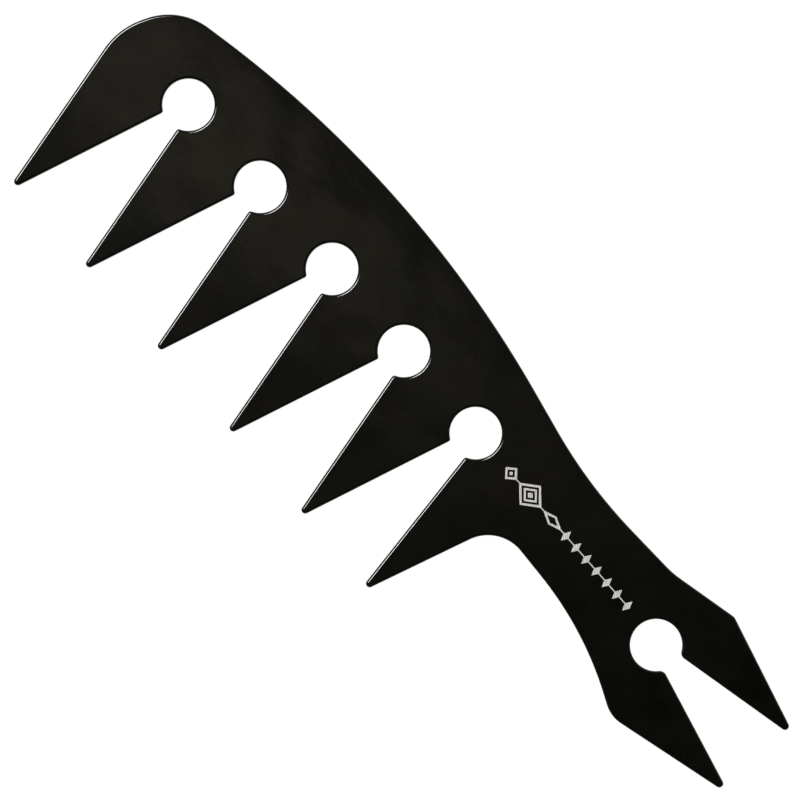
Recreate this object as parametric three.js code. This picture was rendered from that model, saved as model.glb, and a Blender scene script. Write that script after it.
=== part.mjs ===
// Wide-tooth beard and styling comb, cut as one flat plate with a forked tail.
// Millimetres. X runs from the head of the comb to the fork, Y from the tooth tips to the spine,
// and Z up through the plate, which lies on z = 0. The outline is drawn about the middle of the
// row of keyholes, and the finished comb is moved so that its box is centred on the origin.
import * as THREE from "three";

// Plate
const PLATE_THICKNESS = 2;
const EDGE_ROUNDING = 0.45; // radius left on every edge by deburring and coating

// Row of teeth
const TOOTH_COUNT = 6;
const TOOTH_PITCH = 21.5;
const TOOTH_LENGTH = 36; // row of keyholes to the tips
const TOOTH_TIP_RADIUS = 0.75;
const LAST_TOOTH_SHIFT = 2.2; // the last tip stands this much nearer its neighbour than the pitch
const LAST_TOOTH_BACK = 15.4; // slope of the last tooth's handle side, degrees from Y

// Keyholes at the roots of the gaps, and at the root of the fork
const KEYHOLE_RADIUS = 5.15;
const KEYHOLE_NECK = 4.3; // width where the straight flanks meet the round
const NECK_CORNER_RADIUS = 0.6;
const FORK_NECK_CORNER_RADIUS = 1.4;

// Spine: a long crown that falls into the waist of the handle
const SPINE_HEIGHT = 18.7; // row of keyholes to the top of the crown
const CROWN_BEFORE = 5.8; // the crown's round starts this far before the first keyhole's centre
const CROWN_AFTER = 1.5; // and ends this far after the last one's
const CROWN_RISE = 12.1; // slope on the head's side, degrees from X
const CROWN_FALL = 11.4; // slope on the handle's side

// Head: the blunt end in front of the first tooth
const NOSE_RADIUS = 15;
const NOSE_DROP = 1.5; // centre of the nose's round, below the row of keyholes
const HEAD_LEAN = 21; // slope of the head above the nose, degrees from Y
const SHOULDER_RADIUS = 13.1;

// Handle
const HANDLE_LENGTH = 84.35; // last keyhole's centre to the prong tips
const HANDLE_AXIS_DROP = 0.75; // axis of handle and fork, below the row of keyholes
const HANDLE_BACK = 11.8; // axis to the upper edge, where it starts to flare
const HANDLE_BELLY = 8.7; // axis to the lower edge, where it starts to flare
const HANDLE_BACK_SLOPE = 2.6; // degrees from X
const HANDLE_BELLY_SLOPE = 2.4;
const BACK_FLARE = 13.4; // slope of the flare towards the fork's shoulders, degrees from X
const BELLY_FLARE = 23.9;
const ROOT_RADIUS = 8.3; // last tooth into the lower edge
const BELLY_RADIUS = 70; // lower edge into its flare
const BACK_RADIUS = 19; // upper edge into its flare
const NAPE_RADIUS = 101; // crown into the upper edge

// Fork
const FORK_DEPTH = 29.5; // centre of its keyhole to the prong tips
const PRONG_SPREAD = 17.2; // tip to tip
const PRONG_TIP_RADIUS = 0.8;
const BACK_PRONG_SLOPE = 14.4; // outer side of the upper prong, degrees from X
const BELLY_PRONG_SLOPE = 15.4;
const BACK_SHOULDER_INSET = 6; // keyhole's centre to the shoulder, along X
const BELLY_SHOULDER_INSET = 4.7;
const BACK_SHOULDER_RADIUS = 1.9;
const BELLY_SHOULDER_RADIUS = 6.7;

// Mark on the handle: a string of lozenges, one thin film. The lengths along the handle are
// proportions, and the string fills the room between the last keyhole and the fork's.
const MARK_FILM = 0.05;
const MARK_MARGIN = 3.8; // bare plate between the string and each keyhole
const MARK_THREAD = 0.22; // width of the thread that joins the lozenges
const MARK_LOZENGES = [
  { count: 1, length: 3.2, height: 3.2, space: 0.9 },
  { count: 1, length: 6.4, height: 5.6, space: 0.9 },
  { count: 1, length: 5, height: 2.2, space: 0.9 },
  { count: 7, length: 1.3, height: 2.7, space: 1.75 },
];

// Surface fineness
const CHORD_ERROR = 0.03; // largest gap between an arc and its chords
const EDGE_STEPS = 2; // facets across each rounded edge

const radians = THREE.MathUtils.degToRad;
const point = (x, y) => new THREE.Vector2(x, y);
const heading = (degrees) => point(Math.cos(radians(degrees)), Math.sin(radians(degrees)));
const leftOf = (direction) => point(-direction.y, direction.x);
const ALONG = heading(0);
const DOWN = heading(-90);

// A straight side of the outline: a point on it and the way it is travelled, metal on its left
const side = (through, direction) => ({ through, direction });

const moved = (line, distance) =>
  side(line.through.clone().addScaledVector(leftOf(line.direction), distance), line.direction);

// The side that touches a round of the outline, travelled in a direction
const touching = (centre, radius, direction) => moved(side(centre, direction), -radius);

function crossing(a, b) {
  const gap = b.through.clone().sub(a.through);
  const along = gap.cross(b.direction) / a.direction.cross(b.direction);
  return a.through.clone().addScaledVector(a.direction, along);
}

function foot(line, p) {
  const along = p.clone().sub(line.through).dot(line.direction);
  return line.through.clone().addScaledVector(line.direction, along);
}

// Points along a round stretch from one point to another about a centre
function arc(centre, from, to, clockwise) {
  const radius = centre.distanceTo(from);
  const start = Math.atan2(from.y - centre.y, from.x - centre.x);
  const end = Math.atan2(to.y - centre.y, to.x - centre.x);
  const fullTurn = 2 * Math.PI;
  const turn = clockwise
    ? -((start - end + fullTurn) % fullTurn)
    : (end - start + fullTurn) % fullTurn;
  const finest = 2 * Math.acos(1 - CHORD_ERROR / Math.max(radius, 2 * CHORD_ERROR));
  const steps = Math.max(2, Math.ceil(Math.abs(turn) / finest));
  return Array.from({ length: steps + 1 }, (_, k) =>
    point(radius, 0).rotateAround(point(0, 0), start + (turn * k) / steps).add(centre),
  );
}

// Half the angle through which the outline turns from one side to the next
const halfTurn = (before, after) => Math.acos(before.direction.dot(after.direction)) / 2;

// How much of each side a rounded corner of a given radius takes up
const reachOf = (before, after, radius) => radius * Math.tan(halfTurn(before, after));

// A rounded corner between two sides, no larger than the room its sides leave it
function corner(before, after, radius, room = Infinity) {
  const turn = Math.sign(before.direction.cross(after.direction));
  const used = Math.min(radius, room / Math.tan(halfTurn(before, after)));
  const centre = crossing(moved(before, turn * used), moved(after, turn * used));
  return arc(centre, foot(before, centre), foot(after, centre), turn < 0);
}

// Where a gap's flank starts: on the keyhole's round, half a neck from the axis of the gap
function flankStart(centre, opening, hand) {
  const along = Math.sqrt(KEYHOLE_RADIUS ** 2 - (KEYHOLE_NECK / 2) ** 2);
  return centre
    .clone()
    .addScaledVector(opening, along)
    .addScaledVector(leftOf(opening), (hand * KEYHOLE_NECK) / 2);
}

// The two flanks of a gap, from the tip before it to its keyhole and on to the tip after it
function gapFlanks(centre, opening, tipBefore, tipAfter, tipRadius) {
  const flank = (hand, tip) => {
    const start = flankStart(centre, opening, hand);
    const span = tip.clone().sub(start);
    const slant = Math.asin(tipRadius / span.length());
    return side(start, span.normalize().rotateAround(point(0, 0), -hand * slant));
  };
  const before = flank(-1, tipBefore);
  before.direction.negate();
  return { before, after: flank(1, tipAfter) };
}

// The centre of the small round between a flank and a keyhole
function neckCentre(flank, centre, radius, hand) {
  const line = moved(flank, radius);
  const middle = foot(line, centre);
  const reach = KEYHOLE_RADIUS + radius;
  const half = Math.sqrt(reach ** 2 - middle.distanceToSquared(centre));
  return middle.addScaledVector(line.direction, hand * half);
}

// A keyhole between the flanks of its gap: a neck corner, the round and the other neck corner
function keyhole(centre, flanks, cornerRadius) {
  const first = neckCentre(flanks.before, centre, cornerRadius, -1);
  const last = neckCentre(flanks.after, centre, cornerRadius, 1);
  const share = KEYHOLE_RADIUS / (KEYHOLE_RADIUS + cornerRadius);
  const onRound = (neck) => centre.clone().lerp(neck, share);
  return [
    ...arc(first, foot(flanks.before, first), onRound(first), false),
    ...arc(centre, onRound(first), onRound(last), true),
    ...arc(last, onRound(last), foot(flanks.after, last), false),
  ];
}

// Row of teeth: its keyholes, its tips and the gaps between them
const gapCount = TOOTH_COUNT - 1;
const rowCentres = Array.from({ length: gapCount }, (_, k) =>
  point((k - (gapCount - 1) / 2) * TOOTH_PITCH, 0),
);
const firstKeyhole = rowCentres[0];
const lastKeyhole = rowCentres[gapCount - 1];
const tipY = TOOTH_TIP_RADIUS - TOOTH_LENGTH;
const tipCentres = rowCentres.map((centre) => point(centre.x - TOOTH_PITCH / 2, tipY));
const lastTip = point(lastKeyhole.x + TOOTH_PITCH / 2 - LAST_TOOTH_SHIFT, tipY);
tipCentres.push(lastTip);
const gaps = rowCentres.map((centre, k) =>
  gapFlanks(centre, DOWN, tipCentres[k], tipCentres[k + 1], TOOTH_TIP_RADIUS),
);

// The first tooth's front mirrors its back, and the last tooth's back leads into the handle.
const firstBack = gaps[0].before.direction;
const firstFront = touching(tipCentres[0], TOOTH_TIP_RADIUS, point(firstBack.x, -firstBack.y));
const lastBack = touching(lastTip, TOOTH_TIP_RADIUS, heading(90 - LAST_TOOTH_BACK));

// Crown, whose round is set by the row of keyholes under it
const crownStart = firstKeyhole.x - CROWN_BEFORE;
const crownEnd = lastKeyhole.x + CROWN_AFTER;
const riseShare = Math.sin(radians(CROWN_RISE));
const crownRadius = (crownEnd - crownStart) / (riseShare + Math.sin(radians(CROWN_FALL)));
const crownCentre = point(crownStart + crownRadius * riseShare, SPINE_HEIGHT - crownRadius);
const crownRise = touching(crownCentre, crownRadius, heading(180 + CROWN_RISE));
const crownFall = touching(crownCentre, crownRadius, heading(180 - CROWN_FALL));

// Head: the nose's round touches the first tooth's front.
const noseLevel = side(point(0, -NOSE_DROP), ALONG);
const noseCentre = crossing(noseLevel, moved(firstFront, NOSE_RADIUS));
const head = touching(noseCentre, NOSE_RADIUS, heading(-90 - HEAD_LEAN));

// Fork: its keyhole and prong tips, about the handle's axis
const forkCentre = point(lastKeyhole.x + HANDLE_LENGTH - FORK_DEPTH, -HANDLE_AXIS_DROP);
const prongTip = (hand) =>
  point(lastKeyhole.x + HANDLE_LENGTH - PRONG_TIP_RADIUS, forkCentre.y + (hand * PRONG_SPREAD) / 2);
const forkGap = gapFlanks(forkCentre, ALONG, prongTip(-1), prongTip(1), PRONG_TIP_RADIUS);
const bellyOuter = touching(prongTip(-1), PRONG_TIP_RADIUS, heading(BELLY_PRONG_SLOPE));
const backOuter = touching(prongTip(1), PRONG_TIP_RADIUS, heading(180 - BACK_PRONG_SLOPE));

// Shoulders of the fork, where the flares meet the prongs' outer sides
const shoulder = (outer, inset) => crossing(outer, side(point(forkCentre.x + inset, 0), DOWN));
const bellyFlare = side(shoulder(bellyOuter, BELLY_SHOULDER_INSET), heading(-BELLY_FLARE));
const backFlare = side(shoulder(backOuter, BACK_SHOULDER_INSET), heading(180 + BACK_FLARE));

// Handle's edges, each placed where its flare begins
const edgeAt = (flare, height, degrees) =>
  side(crossing(flare, side(point(0, forkCentre.y + height), ALONG)), heading(degrees));
const belly = edgeAt(bellyFlare, -HANDLE_BELLY, -HANDLE_BELLY_SLOPE);
const back = edgeAt(backFlare, HANDLE_BACK, 180 + HANDLE_BACK_SLOPE);

// Length of a side between its crossings with the sides before and after it
const lengthOf = (before, line, after) => crossing(before, line).distanceTo(crossing(line, after));

// Last tooth's back, handle's lower edge and its flare, to the lower prong
function bellyOutline() {
  const rootReach = reachOf(lastBack, belly, ROOT_RADIUS);
  const edgeRoom = lengthOf(lastBack, belly, bellyFlare) - rootReach;
  const shoulderReach = reachOf(bellyFlare, bellyOuter, BELLY_SHOULDER_RADIUS);
  const flareRoom = lengthOf(belly, bellyFlare, bellyOuter) - shoulderReach;
  return [
    ...corner(lastBack, belly, ROOT_RADIUS),
    ...corner(belly, bellyFlare, BELLY_RADIUS, Math.min(edgeRoom, flareRoom)),
    ...corner(bellyFlare, bellyOuter, BELLY_SHOULDER_RADIUS),
  ];
}

function forkOutline() {
  return [
    ...corner(bellyOuter, forkGap.before, PRONG_TIP_RADIUS),
    ...keyhole(forkCentre, forkGap, FORK_NECK_CORNER_RADIUS),
    ...corner(forkGap.after, backOuter, PRONG_TIP_RADIUS),
  ];
}

// Upper prong's shoulder, flare, handle's upper edge and nape, to the crown
function backOutline() {
  const flareReach = reachOf(backFlare, back, BACK_RADIUS);
  const edgeRoom = lengthOf(backFlare, back, crownFall) - flareReach;
  const fallRoom = crossing(back, crownFall).distanceTo(foot(crownFall, crownCentre));
  return [
    ...corner(backOuter, backFlare, BACK_SHOULDER_RADIUS),
    ...corner(backFlare, back, BACK_RADIUS),
    ...corner(back, crownFall, NAPE_RADIUS, Math.min(edgeRoom, fallRoom)),
  ];
}

// Crown, shoulder and nose, to the first tooth's front
function headOutline() {
  const noseReach = reachOf(head, firstFront, NOSE_RADIUS);
  const headRoom = lengthOf(crownRise, head, firstFront) - noseReach;
  const riseRoom = crossing(crownRise, head).distanceTo(foot(crownRise, crownCentre));
  return [
    ...corner(crownFall, crownRise, crownRadius),
    ...corner(crownRise, head, SHOULDER_RADIUS, Math.min(headRoom, riseRoom)),
    ...corner(head, firstFront, NOSE_RADIUS),
  ];
}

// Each tooth's tip and the keyhole after it, up to the last tooth's tip
function rowOutline() {
  const fronts = [firstFront, ...gaps.map((gap) => gap.after)];
  const backs = [...gaps.map((gap) => gap.before), lastBack];
  return fronts.flatMap((front, k) => [
    ...corner(front, backs[k], TOOTH_TIP_RADIUS),
    ...(k < gapCount ? keyhole(rowCentres[k], gaps[k], NECK_CORNER_RADIUS) : []),
  ]);
}

// The plate, with every edge rounded on both faces
function combPlate() {
  const outline = [
    ...rowOutline(),
    ...bellyOutline(),
    ...forkOutline(),
    ...backOutline(),
    ...headOutline(),
  ];
  const geometry = new THREE.ExtrudeGeometry(new THREE.Shape(outline), {
    depth: PLATE_THICKNESS - 2 * EDGE_ROUNDING,
    bevelThickness: EDGE_ROUNDING,
    bevelSize: EDGE_ROUNDING,
    bevelOffset: -EDGE_ROUNDING,
    bevelSegments: EDGE_STEPS,
  });
  const coatedSteel = new THREE.MeshStandardMaterial({
    color: 0x1b1a17,
    roughness: 0.3,
    metalness: 0,
  });
  const mesh = new THREE.Mesh(geometry, coatedSteel);
  mesh.name = "comb_plate";
  mesh.position.z = EDGE_ROUNDING;
  return mesh;
}

// The lozenges in order along the handle, each with its centre and its length
function placedLozenges() {
  const start = lastKeyhole.x + KEYHOLE_RADIUS + MARK_MARGIN;
  const end = forkCentre.x - KEYHOLE_RADIUS - MARK_MARGIN;
  const row = MARK_LOZENGES.flatMap((lozenge) => Array(lozenge.count).fill(lozenge));
  const total = row.reduce((sum, { length, space }) => sum + length + space, -row.at(-1).space);
  const scale = (end - start) / total;
  let edge = start;
  return row.map(({ length, height, space }) => {
    const x = edge + (length * scale) / 2;
    edge += (length + space) * scale;
    return { x, length: length * scale, height };
  });
}

function handleMark() {
  const upper = placedLozenges().flatMap(({ x, length, height }) => [
    point(x - length / 2, MARK_THREAD / 2),
    point(x, height / 2),
    point(x + length / 2, MARK_THREAD / 2),
  ]);
  const lower = upper.map(({ x, y }) => point(x, -y));
  const geometry = new THREE.ExtrudeGeometry(new THREE.Shape([...lower, ...upper.reverse()]), {
    depth: MARK_FILM,
    bevelEnabled: false,
  });
  const paleGrey = new THREE.MeshStandardMaterial({
    color: 0xd6d4cb,
    roughness: 0.7,
    metalness: 0,
  });
  const mesh = new THREE.Mesh(geometry, paleGrey);
  mesh.name = "handle_mark";
  mesh.position.z = PLATE_THICKNESS;
  return mesh;
}

const headEnd = noseCentre.x - NOSE_RADIUS;
const forkEnd = lastKeyhole.x + HANDLE_LENGTH;
const comb = new THREE.Group();
comb.position.set(-(headEnd + forkEnd) / 2, (TOOTH_LENGTH - SPINE_HEIGHT) / 2, 0);
comb.add(combPlate(), handleMark());

export default comb;
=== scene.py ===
# Wide-tooth beard comb: fine meshes, materials, floor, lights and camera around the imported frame.
# Metres, in the frame's axes: X from the head to the fork, Y from the tooth tips to the spine,
# Z up through the plate. Points of the outline are complex numbers, x + y j.
import cmath
import math
from collections import namedtuple

import bmesh
import bpy
import numpy as np
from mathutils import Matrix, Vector
from mathutils.geometry import delaunay_2d_cdt


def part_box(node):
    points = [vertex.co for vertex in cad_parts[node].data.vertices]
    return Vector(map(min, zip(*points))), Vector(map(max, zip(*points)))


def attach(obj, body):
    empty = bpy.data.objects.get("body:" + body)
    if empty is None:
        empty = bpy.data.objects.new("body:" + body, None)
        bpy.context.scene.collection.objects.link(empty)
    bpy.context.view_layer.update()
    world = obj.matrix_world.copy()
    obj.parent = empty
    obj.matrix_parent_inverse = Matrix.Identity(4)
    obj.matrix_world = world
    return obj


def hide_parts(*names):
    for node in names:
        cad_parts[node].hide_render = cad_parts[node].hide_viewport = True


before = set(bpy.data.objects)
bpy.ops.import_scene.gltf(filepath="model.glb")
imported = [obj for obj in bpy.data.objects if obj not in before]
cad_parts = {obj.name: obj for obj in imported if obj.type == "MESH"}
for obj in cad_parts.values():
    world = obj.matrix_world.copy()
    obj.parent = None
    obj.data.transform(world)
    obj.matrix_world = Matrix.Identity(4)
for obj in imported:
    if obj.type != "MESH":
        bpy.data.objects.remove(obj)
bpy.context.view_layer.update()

MM = 0.001

# ------------------------------------------------------------------ sizes of the comb
TOOTH_COUNT = 6
TOOTH_PITCH = 21.5 * MM
TOOTH_LENGTH = 36 * MM  # row of keyholes to the tips
TOOTH_TIP_RADIUS = 0.75 * MM
LAST_TOOTH_SHIFT = 2.2 * MM  # the last tip stands this much nearer its neighbour than the pitch
LAST_TOOTH_BACK = 15.4  # slope of the last tooth's handle side, degrees from Y

KEYHOLE_RADIUS = 5.15 * MM
KEYHOLE_NECK = 4.3 * MM  # width where the straight flanks meet the round
NECK_CORNER_RADIUS = 0.6 * MM
FORK_NECK_CORNER_RADIUS = 1.4 * MM

SPINE_HEIGHT = 18.7 * MM  # row of keyholes to the top of the crown
CROWN_BEFORE = 5.8 * MM  # the crown's round starts this far before the first keyhole's centre
CROWN_AFTER = 1.5 * MM  # and ends this far after the last one's
CROWN_RISE = 12.1  # slope on the head's side, degrees from X
CROWN_FALL = 11.4  # slope on the handle's side

NOSE_RADIUS = 15 * MM
NOSE_DROP = 1.5 * MM  # centre of the nose's round, below the row of keyholes
HEAD_LEAN = 21  # slope of the head above the nose, degrees from Y
SHOULDER_RADIUS = 13.1 * MM

HANDLE_LENGTH = 84.35 * MM  # last keyhole's centre to the prong tips
HANDLE_AXIS_DROP = 0.75 * MM  # axis of handle and fork, below the row of keyholes
HANDLE_BACK = 11.8 * MM  # axis to the upper edge, where it starts to flare
HANDLE_BELLY = 8.7 * MM  # axis to the lower edge, where it starts to flare
HANDLE_BACK_SLOPE = 2.6  # degrees from X
HANDLE_BELLY_SLOPE = 2.4
BACK_FLARE = 13.4  # slope of the flare towards the fork's shoulders, degrees from X
BELLY_FLARE = 23.9
ROOT_RADIUS = 8.3 * MM  # last tooth into the lower edge
BELLY_RADIUS = 70 * MM  # lower edge into its flare
BACK_RADIUS = 19 * MM  # upper edge into its flare
NAPE_RADIUS = 101 * MM  # crown into the upper edge

FORK_DEPTH = 29.5 * MM  # centre of its keyhole to the prong tips
PRONG_SPREAD = 17.2 * MM  # tip to tip
PRONG_TIP_RADIUS = 0.8 * MM
BACK_PRONG_SLOPE = 14.4  # outer side of the upper prong, degrees from X
BELLY_PRONG_SLOPE = 15.4
BACK_SHOULDER_INSET = 6 * MM  # keyhole's centre to the shoulder, along X
BELLY_SHOULDER_INSET = 4.7 * MM
BACK_SHOULDER_RADIUS = 1.9 * MM
BELLY_SHOULDER_RADIUS = 6.7 * MM

EDGE_ROUNDING = 0.45 * MM

# Mark on the handle: a string of lozenges on a thread, with finer lozenges nested in the large
# ones. The lengths along the handle are proportions, and the string fills the mark's own length.
MARK_THREAD = 0.22 * MM
MARK_STROKE = 0.4 * MM
MARK_CLEAR = 0.42 * MM  # bare coat between one line of a lozenge and the next
MARK_SMALLEST = 0.2 * MM  # smallest reach of a centre, and of an opening, from its middle
MarkLozenge = namedtuple("MarkLozenge", "count length height space")
MARK_LOZENGES = [
    MarkLozenge(1, 3.2 * MM, 3.2 * MM, 0.9 * MM),
    MarkLozenge(1, 6.4 * MM, 5.6 * MM, 0.9 * MM),
    MarkLozenge(1, 5.0 * MM, 2.2 * MM, 0.9 * MM),
    MarkLozenge(7, 1.3 * MM, 2.7 * MM, 1.75 * MM),
]

# Fineness of the meshes
EDGE_STEPS = 8
FLAT_MARGIN = 0.06 * MM  # flat ring inside the rounding, which keeps the face's shading level
CHORD_ERROR = 0.0015 * MM
FEWEST_CHORDS = 4
LONGEST_STEP = 1.5 * MM
SAME_POINT = 0.0001 * MM
MERGE_DISTANCE = 0.000001 * MM
FACE_GRID = 2.2 * MM
FACE_GRID_CLEARANCE = 0.55  # free of grid points along the outline, as a share of the grid

plate_low, plate_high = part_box("comb_plate")
mark_low, mark_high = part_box("handle_mark")

# ------------------------------------------------------------------ plane geometry
Side = namedtuple("Side", "through direction")


def heading(degrees):
    return cmath.exp(1j * math.radians(degrees))


ALONG = heading(0)
DOWN = heading(-90)


def cross(a, b):
    return (a.conjugate() * b).imag


def dot(a, b):
    return (a.conjugate() * b).real


def moved(side, distance):
    """The side moved to its left."""
    return Side(side.through + 1j * side.direction * distance, side.direction)


def touching(centre, radius, direction):
    """The side that touches a round of the outline, travelled in a direction."""
    return moved(Side(centre, direction), -radius)


def crossing(a, b):
    along = cross(b.through - a.through, b.direction) / cross(a.direction, b.direction)
    return a.through + a.direction * along


def foot(side, point):
    return side.through + side.direction * dot(side.direction, point - side.through)


def arc(centre, start, end, clockwise):
    """Points along a round stretch, each with the direction that points out of the metal."""
    radius = abs(start - centre)
    turn = cmath.phase((end - centre) / (start - centre))
    if clockwise and turn > 0:
        turn -= math.tau
    if not clockwise and turn < 0:
        turn += math.tau
    finest = 2 * math.acos(1 - CHORD_ERROR / radius)
    steps = max(FEWEST_CHORDS, math.ceil(abs(turn) / finest))
    spokes = [cmath.exp(1j * turn * k / steps) * (start - centre) for k in range(steps + 1)]
    outward = -1 if clockwise else 1
    return [(centre + spoke, outward * spoke / radius) for spoke in spokes]


def half_turn(before, after):
    return math.acos(dot(before.direction, after.direction)) / 2


def reach_of(before, after, radius):
    """How much of each side a rounded corner takes up."""
    return radius * math.tan(half_turn(before, after))


def corner(before, after, radius, room=math.inf):
    """A rounded corner between two sides, no larger than the room its sides leave it."""
    turn = math.copysign(1, cross(before.direction, after.direction))
    used = min(radius, room / math.tan(half_turn(before, after)))
    centre = crossing(moved(before, turn * used), moved(after, turn * used))
    return arc(centre, foot(before, centre), foot(after, centre), turn < 0)


def length_of(before, side, after):
    """Length of a side between its crossings with the sides before and after it."""
    return abs(crossing(before, side) - crossing(side, after))


# ------------------------------------------------------------------ outline of the comb
def gap_flanks(centre, opening, tip_before, tip_after, tip_radius):
    """The two flanks of a gap: up to its keyhole from one tip, and on to the next tip."""
    depth = math.sqrt(KEYHOLE_RADIUS**2 - (KEYHOLE_NECK / 2) ** 2)

    def flank(hand, tip):
        start = centre + opening * depth + 1j * opening * hand * KEYHOLE_NECK / 2
        span = tip - start
        slant = math.asin(tip_radius / abs(span))
        return Side(start, span / abs(span) * cmath.exp(-1j * hand * slant))

    before = flank(-1, tip_before)
    return Side(before.through, -before.direction), flank(1, tip_after)


def keyhole(centre, flanks, corner_radius):
    """A keyhole between the flanks of its gap: a neck corner, the round, the other neck corner."""
    def neck_centre(flank, hand):
        line = moved(flank, corner_radius)
        middle = foot(line, centre)
        reach = KEYHOLE_RADIUS + corner_radius
        return middle + line.direction * hand * math.sqrt(reach**2 - abs(middle - centre) ** 2)

    first = neck_centre(flanks[0], -1)
    last = neck_centre(flanks[1], 1)
    share = KEYHOLE_RADIUS / (KEYHOLE_RADIUS + corner_radius)
    on_first = centre + (first - centre) * share
    on_last = centre + (last - centre) * share
    return [
        *arc(first, foot(flanks[0], first), on_first, False),
        *arc(centre, on_first, on_last, True),
        *arc(last, on_last, foot(flanks[1], last), False),
    ]


# Row of teeth: its keyholes, its tips and the gaps between them
GAP_COUNT = TOOTH_COUNT - 1
row_centres = [(k - (GAP_COUNT - 1) / 2) * TOOTH_PITCH + 0j for k in range(GAP_COUNT)]
tip_level = 1j * (TOOTH_TIP_RADIUS - TOOTH_LENGTH)
tip_centres = [centre - TOOTH_PITCH / 2 + tip_level for centre in row_centres]
tip_centres.append(row_centres[-1] + TOOTH_PITCH / 2 - LAST_TOOTH_SHIFT + tip_level)
gaps = [
    gap_flanks(centre, DOWN, tip_centres[k], tip_centres[k + 1], TOOTH_TIP_RADIUS)
    for k, centre in enumerate(row_centres)
]

# The first tooth's front mirrors its back, and the last tooth's back leads into the handle.
first_front = touching(tip_centres[0], TOOTH_TIP_RADIUS, gaps[0][0].direction.conjugate())
last_back = touching(tip_centres[-1], TOOTH_TIP_RADIUS, heading(90 - LAST_TOOTH_BACK))

# Crown, whose round is set by the row of keyholes under it
crown_start = row_centres[0].real - CROWN_BEFORE
crown_end = row_centres[-1].real + CROWN_AFTER
rise_share = math.sin(math.radians(CROWN_RISE))
fall_share = math.sin(math.radians(CROWN_FALL))
crown_radius = (crown_end - crown_start) / (rise_share + fall_share)
crown_centre = complex(crown_start + crown_radius * rise_share, SPINE_HEIGHT - crown_radius)
crown_rise = touching(crown_centre, crown_radius, heading(180 + CROWN_RISE))
crown_fall = touching(crown_centre, crown_radius, heading(180 - CROWN_FALL))

# Head: the nose's round touches the first tooth's front.
nose_centre = crossing(Side(-1j * NOSE_DROP, ALONG), moved(first_front, NOSE_RADIUS))
head = touching(nose_centre, NOSE_RADIUS, heading(-90 - HEAD_LEAN))

# Fork: its keyhole and prong tips, about the handle's axis
fork_centre = row_centres[-1] + HANDLE_LENGTH - FORK_DEPTH - 1j * HANDLE_AXIS_DROP
prong_x = row_centres[-1].real + HANDLE_LENGTH - PRONG_TIP_RADIUS
belly_tip, back_tip = (
    complex(prong_x, fork_centre.imag + hand * PRONG_SPREAD / 2) for hand in (-1, 1)
)
fork_gap = gap_flanks(fork_centre, ALONG, belly_tip, back_tip, PRONG_TIP_RADIUS)
belly_outer = touching(belly_tip, PRONG_TIP_RADIUS, heading(BELLY_PRONG_SLOPE))
back_outer = touching(back_tip, PRONG_TIP_RADIUS, heading(180 - BACK_PRONG_SLOPE))


def flare(outer, inset, degrees):
    """A flare that leads to the shoulder where it meets a prong's outer side."""
    return Side(crossing(outer, Side(fork_centre + inset, DOWN)), heading(degrees))


def handle_edge(flare_side, height, degrees):
    """An edge of the handle, placed where its flare begins."""
    return Side(crossing(flare_side, Side(fork_centre + 1j * height, ALONG)), heading(degrees))


belly_flare = flare(belly_outer, BELLY_SHOULDER_INSET, -BELLY_FLARE)
back_flare = flare(back_outer, BACK_SHOULDER_INSET, 180 + BACK_FLARE)
belly = handle_edge(belly_flare, -HANDLE_BELLY, -HANDLE_BELLY_SLOPE)
back = handle_edge(back_flare, HANDLE_BACK, 180 + HANDLE_BACK_SLOPE)


def row_outline():
    """Each tooth's tip and the keyhole after it, up to the last tooth's tip."""
    fronts = [first_front, *(gap[1] for gap in gaps)]
    backs = [*(gap[0] for gap in gaps), last_back]
    points = []
    for k, centre in enumerate(row_centres):
        points += corner(fronts[k], backs[k], TOOTH_TIP_RADIUS)
        points += keyhole(centre, gaps[k], NECK_CORNER_RADIUS)
    return points + corner(fronts[-1], backs[-1], TOOTH_TIP_RADIUS)


def belly_outline():
    """Last tooth's back, handle's lower edge and its flare, to the lower prong."""
    root_reach = reach_of(last_back, belly, ROOT_RADIUS)
    edge_room = length_of(last_back, belly, belly_flare) - root_reach
    shoulder_reach = reach_of(belly_flare, belly_outer, BELLY_SHOULDER_RADIUS)
    flare_room = length_of(belly, belly_flare, belly_outer) - shoulder_reach
    return [
        *corner(last_back, belly, ROOT_RADIUS),
        *corner(belly, belly_flare, BELLY_RADIUS, min(edge_room, flare_room)),
        *corner(belly_flare, belly_outer, BELLY_SHOULDER_RADIUS),
    ]


def fork_outline():
    return [
        *corner(belly_outer, fork_gap[0], PRONG_TIP_RADIUS),
        *keyhole(fork_centre, fork_gap, FORK_NECK_CORNER_RADIUS),
        *corner(fork_gap[1], back_outer, PRONG_TIP_RADIUS),
    ]


def back_outline():
    """Upper prong's shoulder, flare, handle's upper edge and nape, to the crown."""
    flare_reach = reach_of(back_flare, back, BACK_RADIUS)
    edge_room = length_of(back_flare, back, crown_fall) - flare_reach
    fall_room = abs(crossing(back, crown_fall) - foot(crown_fall, crown_centre))
    return [
        *corner(back_outer, back_flare, BACK_SHOULDER_RADIUS),
        *corner(back_flare, back, BACK_RADIUS),
        *corner(back, crown_fall, NAPE_RADIUS, min(edge_room, fall_room)),
    ]


def head_outline():
    """Crown, shoulder and nose, to the first tooth's front."""
    nose_reach = reach_of(head, first_front, NOSE_RADIUS)
    head_room = length_of(crown_rise, head, first_front) - nose_reach
    rise_room = abs(crossing(crown_rise, head) - foot(crown_rise, crown_centre))
    return [
        *corner(crown_fall, crown_rise, crown_radius),
        *corner(crown_rise, head, SHOULDER_RADIUS, min(head_room, rise_room)),
        *corner(head, first_front, NOSE_RADIUS),
    ]


def comb_outline():
    """The outline with the metal on its left, drawn about the middle of the row of keyholes."""
    return [
        *row_outline(), *belly_outline(), *fork_outline(), *back_outline(), *head_outline()
    ]


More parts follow.
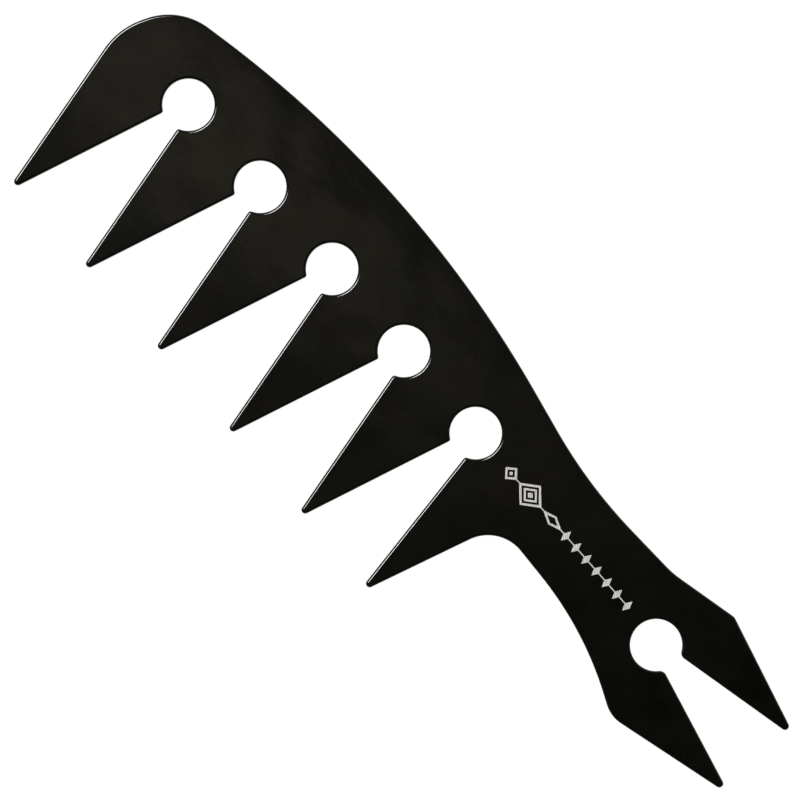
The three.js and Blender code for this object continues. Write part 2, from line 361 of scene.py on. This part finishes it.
def evenly_filled(points):
    """The outline with its repeated points dropped and its long straight stretches divided."""
    filled = []
    for k, (point, outward) in enumerate(points):
        following, next_outward = points[(k + 1) % len(points)]
        span = following - point
        if abs(span) < SAME_POINT:
            continue
        parts = max(1, math.ceil(abs(span) / LONGEST_STEP))
        for part in range(parts):
            share = part / parts
            direction = outward * (1 - share) + next_outward * share
            filled.append((point + span * share, direction / abs(direction)))
    return filled


# ------------------------------------------------------------------ meshes
def placed_object(name, data):
    made = bpy.data.objects.new(name, data)
    bpy.context.scene.collection.objects.link(made)
    return made


def mesh_piece(name, vertices, faces):
    mesh = bpy.data.meshes.new(name)
    mesh.from_pydata(vertices, [], faces)
    mesh.validate()
    return placed_object(name, mesh)


def inside(points, loop):
    """Which of the points lie inside a closed loop. Both are arrays of complex numbers."""
    result = np.zeros(len(points), bool)
    for a, b in zip(loop, np.roll(loop, -1)):
        spans = (a.imag > points.imag) != (b.imag > points.imag)
        if a.imag != b.imag:
            x = a.real + (points.imag - a.imag) * (b.real - a.real) / (b.imag - a.imag)
            result ^= spans & (points.real < x)
    return result


def face_grid(loop):
    """Points of an even triangular grid that lie well inside a closed loop."""
    rows = np.arange(loop.imag.min(), loop.imag.max(), FACE_GRID * math.sqrt(3) / 2)
    grid = np.concatenate([
        np.arange(loop.real.min() + FACE_GRID / 2 * (k % 2), loop.real.max(), FACE_GRID) + 1j * y
        for k, y in enumerate(rows)
    ])
    grid = grid[inside(grid, loop)]
    clearance = np.min(np.abs(grid[:, None] - loop[None, :]), axis=1)
    return grid[clearance > FACE_GRID * FACE_GRID_CLEARANCE]


def face_triangles(loop, grid):
    """Well-shaped triangles over a flat face, numbered through its loop and then its grid."""
    points = [Vector((p.real, p.imag)) for p in np.concatenate([loop, grid])]
    count = len(loop)
    border = [(k, (k + 1) % count) for k in range(count)]
    made = delaunay_2d_cdt(points, border, [list(range(count))], 1, MERGE_DISTANCE)
    source = [ids[0] for ids in made[3]]
    return [tuple(source[v] for v in face) for face in made[2]]


def edge_rings():
    """Inset and height of each ring of points, from the upper face round the edge to the lower."""
    quarter = [math.pi / 2 * k / EDGE_STEPS for k in range(EDGE_STEPS + 1)]
    rounding = [(EDGE_ROUNDING + FLAT_MARGIN, 0)]
    rounding += [
        (EDGE_ROUNDING * (1 - math.sin(a)), EDGE_ROUNDING * (1 - math.cos(a))) for a in quarter
    ]
    upper = [(inset, plate_high.z - drop) for inset, drop in rounding]
    lower = [(inset, plate_low.z + drop) for inset, drop in reversed(rounding)]
    return upper + lower


def band_faces(count, ring_count):
    """The faces between each ring of points and the next."""
    faces = []
    for start in range(0, (ring_count - 1) * count, count):
        for k in range(count):
            following = (k + 1) % count
            faces.append((start + k, start + count + k, start + count + following, start + following))
    return faces


def comb_piece():
    """The whole comb: rounded edges in rings, and an even mesh over both flat faces."""
    row_middle = complex(
        plate_high.x - (TOOTH_COUNT - 2) / 2 * TOOTH_PITCH - HANDLE_LENGTH,
        plate_high.y - SPINE_HEIGHT,
    )
    outline = evenly_filled(comb_outline())
    points = np.array([p for p, _ in outline]) + row_middle
    outward = np.array([n for _, n in outline])
    count = len(points)
    rings = edge_rings()
    vertices = []
    for inset, height in rings:
        vertices += [(p.real, p.imag, height) for p in points - outward * inset]

    loop = points - outward * rings[0][0]
    grid = face_grid(loop)
    triangles = face_triangles(loop, grid)
    last_ring = (len(rings) - 1) * count
    top_start = len(vertices)
    bottom_start = top_start + len(grid)
    vertices += [(p.real, p.imag, plate_high.z) for p in grid]
    vertices += [(p.real, p.imag, plate_low.z) for p in grid]

    def on_top(v):
        return v if v < count else top_start + v - count

    def on_bottom(v):
        return last_ring + v if v < count else bottom_start + v - count

    faces = band_faces(count, len(rings))
    faces += [tuple(on_top(v) for v in triangle) for triangle in triangles]
    faces += [tuple(on_bottom(v) for v in reversed(triangle)) for triangle in triangles]
    piece = mesh_piece("coated_comb", vertices, faces)
    piece.data.shade_smooth()
    return piece


def placed_lozenges():
    """The middle, half length and half height of each lozenge, fitted to the mark's length."""
    row = [lozenge for lozenge in MARK_LOZENGES for _ in range(lozenge.count)]
    total = sum(lozenge.length + lozenge.space for lozenge in row) - row[-1].space
    scale = (mark_high.x - mark_low.x) / total
    edge = mark_low.x
    placed = []
    for lozenge in row:
        length = lozenge.length * scale
        placed.append((edge + length / 2, length / 2, lozenge.height / 2))
        edge += length + lozenge.space * scale
    return placed


def nested_reaches(reach):
    """How far each border in a lozenge lies from its middle: an opening, a line in it, and so on."""
    nested = []
    left = reach - MARK_STROKE
    while left > MARK_SMALLEST:
        nested.append(left)
        left -= MARK_CLEAR if len(nested) % 2 else MARK_STROKE
    return nested


def mark_loops():
    """Closed loops with the film on their left: the string's outline, then each lozenge's borders."""
    thread = MARK_THREAD / 2
    upper = []
    nested = []
    for x, half_length, half_height in placed_lozenges():
        upper += [(x - half_length, thread), (x, half_height), (x + half_length, thread)]
        reach = half_length * half_height / math.hypot(half_length, half_height)
        for k, left in enumerate(nested_reaches(reach)):
            a, b = half_length * left / reach, half_height * left / reach
            border = [(x - a, 0), (x, -b), (x + a, 0), (x, b)]
            nested.append(border if k % 2 else border[::-1])
    lower = [(x, -y) for x, y in upper]
    return [lower + upper[::-1], *nested]


def mark_triangles(loops):
    """Triangles over the flat mark, numbered through its loops and facing up."""
    flat = bmesh.new()
    for loop in loops:
        corners = [flat.verts.new((x, y, 0)) for x, y in loop]
        for k, vertex in enumerate(corners):
            flat.edges.new((corners[k - 1], vertex))
    bmesh.ops.triangle_fill(flat, use_beauty=True, edges=flat.edges[:], normal=(0, 0, 1))
    flat.verts.index_update()
    triangles = [tuple(vertex.index for vertex in face.verts) for face in flat.faces]
    flat.free()
    return triangles


def mark_piece():
    """The pale mark: a thin film on the handle, between the last keyhole and the fork's."""
    middle = (mark_low.y + mark_high.y) / 2
    loops = mark_loops()
    triangles = mark_triangles(loops)
    points = [(x, middle + y) for loop in loops for x, y in loop]
    count = len(points)
    vertices = [(*point, mark_low.z) for point in points]
    vertices += [(*point, mark_high.z) for point in points]
    faces = [tuple(reversed(triangle)) for triangle in triangles]
    faces += [tuple(v + count for v in triangle) for triangle in triangles]
    start = 0
    for loop in loops:
        for k in range(len(loop)):
            here, following = start + k, start + (k + 1) % len(loop)
            faces.append((here, following, following + count, here + count))
        start += len(loop)
    return mesh_piece("pale_mark", vertices, faces)


# ------------------------------------------------------------------ shader nodes
def add_node(tree, kind, settings=None, values=None):
    """A node with its settings and the values of its unlinked sockets."""
    made = tree.nodes.new(kind)
    for name, value in (settings or {}).items():
        setattr(made, name, value)
    for socket, value in (values or {}).items():
        made.inputs[socket].default_value = value
    return made


def link(tree, source, target):
    tree.links.new(source, target)


def new_group(name, inputs, output_kind):
    """An empty node group with float inputs and one output. Returns it with both its ends."""
    group = bpy.data.node_groups.new(name, "ShaderNodeTree")
    for label, value in inputs.items():
        socket = group.interface.new_socket(name=label, in_out="INPUT", socket_type="NodeSocketFloat")
        socket.default_value = value
    label, kind = output_kind
    group.interface.new_socket(name=label, in_out="OUTPUT", socket_type=kind)
    start = group.nodes.new("NodeGroupInput")
    end = group.nodes.new("NodeGroupOutput")
    return group, start, end


def use_group(tree, group, values=None):
    return add_node(tree, "ShaderNodeGroup", {"node_tree": group}, values)


def place_on_object(tree, stretch=(1, 1, 1), turn=0):
    """Object coordinates in metres, turned about Z and stretched."""
    where = add_node(tree, "ShaderNodeTexCoord")
    turned = add_node(tree, "ShaderNodeMapping", {"vector_type": "POINT"})
    turned.inputs["Rotation"].default_value = (0, 0, math.radians(turn))
    turned.inputs["Scale"].default_value = stretch
    link(tree, where.outputs["Object"], turned.inputs["Vector"])
    return turned.outputs["Vector"]


def multiplied(tree, first, second):
    made = add_node(tree, "ShaderNodeMath", {"operation": "MULTIPLY"})
    link(tree, first, made.inputs[0])
    link(tree, second, made.inputs[1])
    return made.outputs[0]


def one_over(tree, size):
    """The scale of a texture whose features have a size in metres."""
    made = add_node(tree, "ShaderNodeMath", {"operation": "DIVIDE"}, {0: 1})
    link(tree, size, made.inputs[1])
    return made.outputs[0]


def stepped(tree, value, start, end):
    """A soft step from 0 to 1 between two values."""
    made = add_node(
        tree, "ShaderNodeMapRange", {"interpolation_type": "SMOOTHSTEP"},
        {"From Min": start, "From Max": end},
    )
    link(tree, value, made.inputs["Value"])
    return made.outputs[0]


def ranged(tree, mask, low, high):
    """A value between two, by a mask."""
    made = add_node(tree, "ShaderNodeMapRange", None, {"To Min": low, "To Max": high})
    link(tree, mask, made.inputs["Value"])
    return made.outputs[0]


def tinted(tree, mask, low, high):
    """A colour between two, by a mask. Either one is a plain colour or another node's output."""
    mix = add_node(tree, "ShaderNodeMix", {"data_type": "RGBA"})
    for socket, colour in ((mix.inputs[6], low), (mix.inputs[7], high)):
        if isinstance(colour, tuple):
            socket.default_value = (*colour, 1)
        else:
            link(tree, colour, socket)
    link(tree, mask, mix.inputs[0])
    return mix.outputs[2]


def bump(tree, height, depth, under=None):
    """A bump as deep as a height of one, on top of another normal."""
    made = add_node(tree, "ShaderNodeBump", None, {"Strength": 1, "Distance": depth})
    link(tree, height, made.inputs["Height"])
    if under:
        link(tree, under, made.inputs["Normal"])
    return made.outputs["Normal"]


# ------------------------------------------------------------------ shared effects
MOTTLE_SIZE = 6 * MM
MOTTLE_DETAIL = 4
MOTTLE_ROUGHNESS = 0.55

HAIRLINE_TURNS = (24, -63)  # degrees about Z
HAIRLINE_STRETCH = (1 / (14 * MM), 1 / (0.12 * MM), 0)  # long in one direction, fine in the other
HAIRLINE_STEP = (0.7, 0.78)
HAIRLINE_PATCH = 17 * MM

SPECK_SPACING = 1 * MM
SPECK_STEP = (0.16, 0.06)  # distances from a speck's middle, in spacings
SPECK_SHARE = 0.55  # cells whose random colour is under this hold no speck


def make_mottle():
    """Cloudy unevenness from 0 to 1, with the size of its clouds in metres."""
    inputs = {"Size": MOTTLE_SIZE, "Detail": MOTTLE_DETAIL, "Contrast": 1}
    group, start, end = new_group("cloudy_mottle", inputs, ("Value", "NodeSocketFloat"))
    noise = add_node(group, "ShaderNodeTexNoise", None, {"Roughness": MOTTLE_ROUGHNESS})
    link(group, place_on_object(group), noise.inputs["Vector"])
    link(group, one_over(group, start.outputs["Size"]), noise.inputs["Scale"])
    link(group, start.outputs["Detail"], noise.inputs["Detail"])
    centred = add_node(group, "ShaderNodeMath", {"operation": "SUBTRACT"}, {1: 0.5})
    link(group, noise.outputs[0], centred.inputs[0])
    spread = multiplied(group, centred.outputs[0], start.outputs["Contrast"])
    back = add_node(group, "ShaderNodeMath", {"operation": "ADD", "use_clamp": True}, {1: 0.5})
    link(group, spread, back.inputs[0])
    link(group, back.outputs[0], end.inputs["Value"])
    return group


def hairlines_along(group, turn):
    noise = add_node(group, "ShaderNodeTexNoise", None, {"Scale": 1, "Detail": 1})
    link(group, place_on_object(group, HAIRLINE_STRETCH, turn), noise.inputs["Vector"])
    return stepped(group, noise.outputs[0], *HAIRLINE_STEP)


def make_hairlines():
    """A mask of fine straight scratches, in patches, in two directions."""
    group, start, end = new_group(
        "hairline_scratches", {"Amount": 0.5}, ("Mask", "NodeSocketFloat")
    )
    both = add_node(group, "ShaderNodeMath", {"operation": "MAXIMUM"})
    for k, turn in enumerate(HAIRLINE_TURNS):
        link(group, hairlines_along(group, turn), both.inputs[k])
    patch = add_node(group, "ShaderNodeTexNoise", None, {"Scale": 1 / HAIRLINE_PATCH, "Detail": 2})
    link(group, place_on_object(group), patch.inputs["Vector"])
    patchy = multiplied(group, both.outputs[0], patch.outputs[0])
    link(group, multiplied(group, patchy, start.outputs["Amount"]), end.inputs["Mask"])
    return group


def make_specks():
    """A mask of small round specks scattered at random, with their spacing in metres."""
    inputs = {"Spacing": SPECK_SPACING, "Amount": 0.5}
    group, start, end = new_group("scattered_specks", inputs, ("Mask", "NodeSocketFloat"))
    cells = add_node(group, "ShaderNodeTexVoronoi", {"voronoi_dimensions": "3D"})
    link(group, place_on_object(group), cells.inputs["Vector"])
    link(group, one_over(group, start.outputs["Spacing"]), cells.inputs["Scale"])
    spot = stepped(group, cells.outputs["Distance"], *SPECK_STEP)
    parts = add_node(group, "ShaderNodeSeparateColor")
    link(group, cells.outputs["Color"], parts.inputs[0])
    kept = add_node(group, "ShaderNodeMapRange", None, {"From Min": SPECK_SHARE, "From Max": 1})
    link(group, parts.outputs[0], kept.inputs["Value"])
    chosen = multiplied(group, spot, kept.outputs[0])
    link(group, multiplied(group, chosen, start.outputs["Amount"]), end.inputs["Mask"])
    return group


mottle_group = make_mottle()
hairline_group = make_hairlines()
speck_group = make_specks()

# ------------------------------------------------------------------ materials
# Black coat
# Painted sheen: the base colour is mottled between these two, lighter and warmer where the gloss
# would reflect more of the studio
COAT_COOL_LEAST_SHEEN = (0.0005, 0.0007, 0.0004)
COAT_WARM_PAINTED_SHEEN = (0.003, 0.0026, 0.0016)
# Painted sheen tint: green patches that stand in for the colour of uneven reflections in the gloss
COAT_GREEN_SHEEN_TINT = (0.0012, 0.0024, 0.0014)
COAT_GREEN_TINT_SHARE = 0.6  # at most
COAT_SCRATCH = (0.006, 0.0055, 0.0048)
COAT_DUST = (0.012, 0.011, 0.01)
COAT_GLOSS = (0.03, 0.045)  # roughness
COAT_IOR = 1.55
HAZE_WEIGHT = (0.6, 1)
HAZE_ROUGHNESS = 0.38
HAZE_IOR = 1.07
WAVE_DEPTH = 0.04 * MM
PEEL_DEPTH = 0.002 * MM
COAT_SCRATCH_DEPTH = 0.0006 * MM

# Pale print
PRINT_DARK = (0.44, 0.433, 0.41)
PRINT_PALE = (0.78, 0.77, 0.735)
PRINT_HATCH = (0.25, 0.24, 0.21)
PRINT_HATCH_SHARE = 0.75  # at most
PRINT_PINHOLE = (0.12, 0.115, 0.1)
PRINT_ROUGHNESS = (0.55, 0.72)
HATCH_PERIOD = 0.36 * MM
BAND_SPACING = 0.444  # spacing of a wave texture's diagonal bands at a scale of one
HATCH_DEPTH = 0.004 * MM
PINHOLE_DEPTH = 0.008 * MM
PRINT_SCRATCH_DEPTH = 0.001 * MM

# Floor
FLOOR_GREY = (0.045, 0.045, 0.045)
FLOOR_PALE = (0.055, 0.055, 0.055)
FLOOR_GLOW = 0.97
FIBRE_DEPTH = 0.02 * MM


def new_material(name):
    """An empty material with its shader joined to the output."""
    material = bpy.data.materials.new(name)
    material.use_nodes = True
    tree = material.node_tree
    tree.nodes.clear()
    shader = tree.nodes.new("ShaderNodeBsdfPrincipled")
    output = tree.nodes.new("ShaderNodeOutputMaterial")
    link(tree, shader.outputs["BSDF"], output.inputs["Surface"])
    return material, tree, shader


def black_coat():
    """Hard gloss black coat, not quite flat, with a thin haze over it, and a painted sheen: its base
    colour mottled and tinted in patches for uneven reflections in the gloss.
    """
    material, tree, shader = new_material("black_coat")
    clouds = use_group(tree, mottle_group, {"Size": 7 * MM, "Contrast": 2}).outputs[0]
    patches = use_group(tree, mottle_group, {"Size": 5 * MM, "Contrast": 2.5}).outputs[0]
    waves = use_group(tree, mottle_group, {"Size": 13 * MM, "Detail": 0.8, "Contrast": 1}).outputs[0]
    peel = use_group(tree, mottle_group, {"Size": 1.8 * MM, "Detail": 1, "Contrast": 1}).outputs[0]
    lines = use_group(tree, hairline_group, {"Amount": 0.8}).outputs[0]
    specks = use_group(tree, speck_group, {"Spacing": 2.6 * MM, "Amount": 0.3}).outputs[0]

    # painted sheen: the base colour is mottled and tinted green in patches in place of uneven
    # reflections; the scratches and dust are real wear
    cloudy = tinted(tree, clouds, COAT_COOL_LEAST_SHEEN, COAT_WARM_PAINTED_SHEEN)
    patchy = tinted(tree, ranged(tree, patches, 0, COAT_GREEN_TINT_SHARE), cloudy, COAT_GREEN_SHEEN_TINT)
    sheen_and_scratches = tinted(tree, lines, patchy, COAT_SCRATCH)
    sheen_scratches_and_dust = tinted(tree, specks, sheen_and_scratches, COAT_DUST)
    link(tree, sheen_scratches_and_dust, shader.inputs["Base Color"])
    link(tree, ranged(tree, clouds, *COAT_GLOSS), shader.inputs["Roughness"])
    shader.inputs["IOR"].default_value = COAT_IOR
    link(tree, ranged(tree, clouds, *HAZE_WEIGHT), shader.inputs["Coat Weight"])
    shader.inputs["Coat Roughness"].default_value = HAZE_ROUGHNESS
    shader.inputs["Coat IOR"].default_value = HAZE_IOR

    wavy = bump(tree, waves, WAVE_DEPTH)
    rippled = bump(tree, peel, PEEL_DEPTH, wavy)
    scratched = bump(tree, lines, -COAT_SCRATCH_DEPTH, rippled)
    link(tree, scratched, shader.inputs["Normal"])
    return material


def pale_print():
    """Pale grey marking: matt, finely hatched, with pinholes."""
    material, tree, shader = new_material("pale_marking")
    clouds = use_group(tree, mottle_group, {"Size": 0.7 * MM, "Contrast": 2.2}).outputs[0]
    pinholes = use_group(tree, speck_group, {"Spacing": 0.45 * MM, "Amount": 0.9}).outputs[0]
    lines = use_group(tree, hairline_group, {"Amount": 0.6}).outputs[0]
    wave = add_node(
        tree, "ShaderNodeTexWave",
        {"wave_type": "BANDS", "bands_direction": "DIAGONAL"},
        {"Scale": BAND_SPACING / HATCH_PERIOD, "Distortion": 1.2, "Detail": 1},
    )
    link(tree, place_on_object(tree), wave.inputs["Vector"])
    hatch = wave.outputs[1]

    tone = tinted(tree, clouds, PRINT_DARK, PRINT_PALE)
    hatched = tinted(tree, ranged(tree, hatch, 0, PRINT_HATCH_SHARE), tone, PRINT_HATCH)
    pitted = tinted(tree, pinholes, hatched, PRINT_PINHOLE)
    link(tree, pitted, shader.inputs["Base Color"])
    link(tree, ranged(tree, clouds, *PRINT_ROUGHNESS), shader.inputs["Roughness"])
    shader.inputs["Specular IOR Level"].default_value = 0.3

    grained = bump(tree, hatch, HATCH_DEPTH)
    pricked = bump(tree, pinholes, -PINHOLE_DEPTH, grained)
    scratched = bump(tree, lines, -PRINT_SCRATCH_DEPTH, pricked)
    link(tree, scratched, shader.inputs["Normal"])
    return material


def pale_floor():
    """White card that glows by itself, so that nothing throws a shadow on it."""
    material, tree, shader = new_material("pale_floor")
    clouds = use_group(tree, mottle_group, {"Size": 60 * MM, "Contrast": 1}).outputs[0]
    fibre = use_group(tree, mottle_group, {"Size": 0.6 * MM, "Contrast": 1}).outputs[0]
    link(tree, tinted(tree, clouds, FLOOR_GREY, FLOOR_PALE), shader.inputs["Base Color"])
    shader.inputs["Roughness"].default_value = 0.85
    shader.inputs["Specular IOR Level"].default_value = 0.2
    shader.inputs["Emission Color"].default_value = (1, 1, 1, 1)
    shader.inputs["Emission Strength"].default_value = FLOOR_GLOW
    link(tree, bump(tree, fibre, FIBRE_DEPTH), shader.inputs["Normal"])
    return material


# ------------------------------------------------------------------ floor, lights and camera
FLOOR_SIZE = 8
FLOOR_GAP = 0.02 * MM

LIGHT_DISTANCE = 4
LIGHT_TILT = math.radians(19.5)
LIGHT_LENGTH = 1.2
LIGHT_WIDTH = 1
LIGHT_RADIANCE = 29
FILL_LENGTH = 1.6
FILL_RADIANCE = 8

CEILING_DARK = (0.012, 0.008, 0.001)
CEILING_LIGHT = (0.325, 0.278, 0.21)
WALL_DARK = (0.18, 0.18, 0.185)
WALL_LIGHT = (0.62, 0.62, 0.63)

# Each ramp of the studio: a direction, and how far toward it a look starts and ends the change
# from 0 to 1, in cosines.
Ramp = namedtuple("Ramp", "direction start end")
OVER_HEAD = Ramp((-0.93, 0.37, 0), -0.062, 0.045)
TOWARD_TEETH = Ramp((0.158, -0.987, 0), -0.0104, 0.0053)
TOWARD_SPINE = Ramp((0, 1, 0), 0.0029, 0.0189)
TOWARD_NOSE = Ramp((-1, 0, 0), 0.044, 0.062)
BEYOND_SPINE = Ramp((-0.5, 0.87, 0), -0.9, 0.9)
DOWN_WALLS = Ramp((0, 0, -1), -0.8, -0.15)
LEFT_PAST_TEETH = 0.25  # share of the ceiling's light that is left past the strip's borders
LEFT_PAST_SPINE = 0.15
LEFT_PAST_NOSE = 0.8

VIEW_TURN = 48.812  # the comb's axis falls this far to the right across the picture, degrees
VIEW_WIDTH = 157.6 * MM
VIEW_DISTANCE = 1.5
VIEW_AIM = (-4.1 * MM, 1.7 * MM)


def set_floor():
    half = FLOOR_SIZE / 2
    corners = [(-half, -half), (half, -half), (half, half), (-half, half)]
    level = plate_low.z - FLOOR_GAP
    floor = mesh_piece("studio_floor", [(x, y, level) for x, y in corners], [(0, 1, 2, 3)])
    floor.data.materials.append(pale_floor())
    floor.visible_glossy = False


def softbox(name, tilt, length, width, radiance):
    """A softbox tilted from overhead toward the head, facing the comb."""
    light = bpy.data.lights.new(name, "AREA")
    light.shape = "RECTANGLE"
    light.size = length
    light.size_y = width
    light.energy = radiance * math.pi * length * width
    placed = placed_object(name, light)
    placed.location = (-math.sin(tilt) * LIGHT_DISTANCE, 0, math.cos(tilt) * LIGHT_DISTANCE)
    placed.rotation_euler = (0, -tilt, 0)
    placed.visible_camera = False
    return placed


def set_lights():
    """A softbox that draws the bright line along the edges facing it, and a fill overhead."""
    softbox("key_softbox", LIGHT_TILT, LIGHT_LENGTH, LIGHT_WIDTH, LIGHT_RADIANCE)
    fill = softbox("fill_softbox", 0, FILL_LENGTH, FILL_LENGTH, FILL_RADIANCE)
    fill.visible_glossy = False


def set_world():
    """A studio that is dark overhead but for one soft strip, and paler toward its walls."""
    world = bpy.data.worlds.new("studio")
    world.use_nodes = True
    tree = world.node_tree
    where = add_node(tree, "ShaderNodeTexCoord")

    def toward(ramp):
        """From 0 to 1 as the direction looked in turns toward the ramp's."""
        reach = add_node(tree, "ShaderNodeVectorMath", {"operation": "DOT_PRODUCT"})
        reach.inputs[1].default_value = ramp.direction
        link(tree, where.outputs["Generated"], reach.inputs[0])
        return stepped(tree, reach.outputs["Value"], ramp.start, ramp.end)

    off_teeth = ranged(tree, toward(TOWARD_TEETH), 1, LEFT_PAST_TEETH)
    off_spine = ranged(tree, toward(TOWARD_SPINE), 1, LEFT_PAST_SPINE)
    off_nose = ranged(tree, toward(TOWARD_NOSE), 1, LEFT_PAST_NOSE)
    across = multiplied(tree, off_teeth, off_spine)
    strip = multiplied(tree, multiplied(tree, toward(OVER_HEAD), off_nose), across)
    ceiling = tinted(tree, strip, CEILING_DARK, CEILING_LIGHT)
    walls = tinted(tree, toward(BEYOND_SPINE), WALL_DARK, WALL_LIGHT)
    studio = tinted(tree, toward(DOWN_WALLS), ceiling, walls)
    link(tree, studio, tree.nodes["Background"].inputs["Color"])
    bpy.context.scene.world = world


def set_camera():
    """Straight down on the plate with a long lens."""
    lens = bpy.data.cameras.new("camera")
    lens.lens = lens.sensor_width * VIEW_DISTANCE / VIEW_WIDTH
    lens.clip_end = 100
    camera = placed_object("camera", lens)
    camera.location = (*VIEW_AIM, plate_high.z + VIEW_DISTANCE)
    camera.rotation_euler = (0, 0, math.radians(VIEW_TURN))
    bpy.context.scene.camera = camera
    bpy.context.scene.view_settings.view_transform = "Standard"


# ------------------------------------------------------------------ the scene
comb = comb_piece()
comb.data.materials.append(black_coat())
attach(comb, "root")
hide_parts("comb_plate")

mark = mark_piece()
mark.data.materials.append(pale_print())
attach(mark, "root")
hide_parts("handle_mark")

set_floor()
set_lights()
set_world()
set_camera()
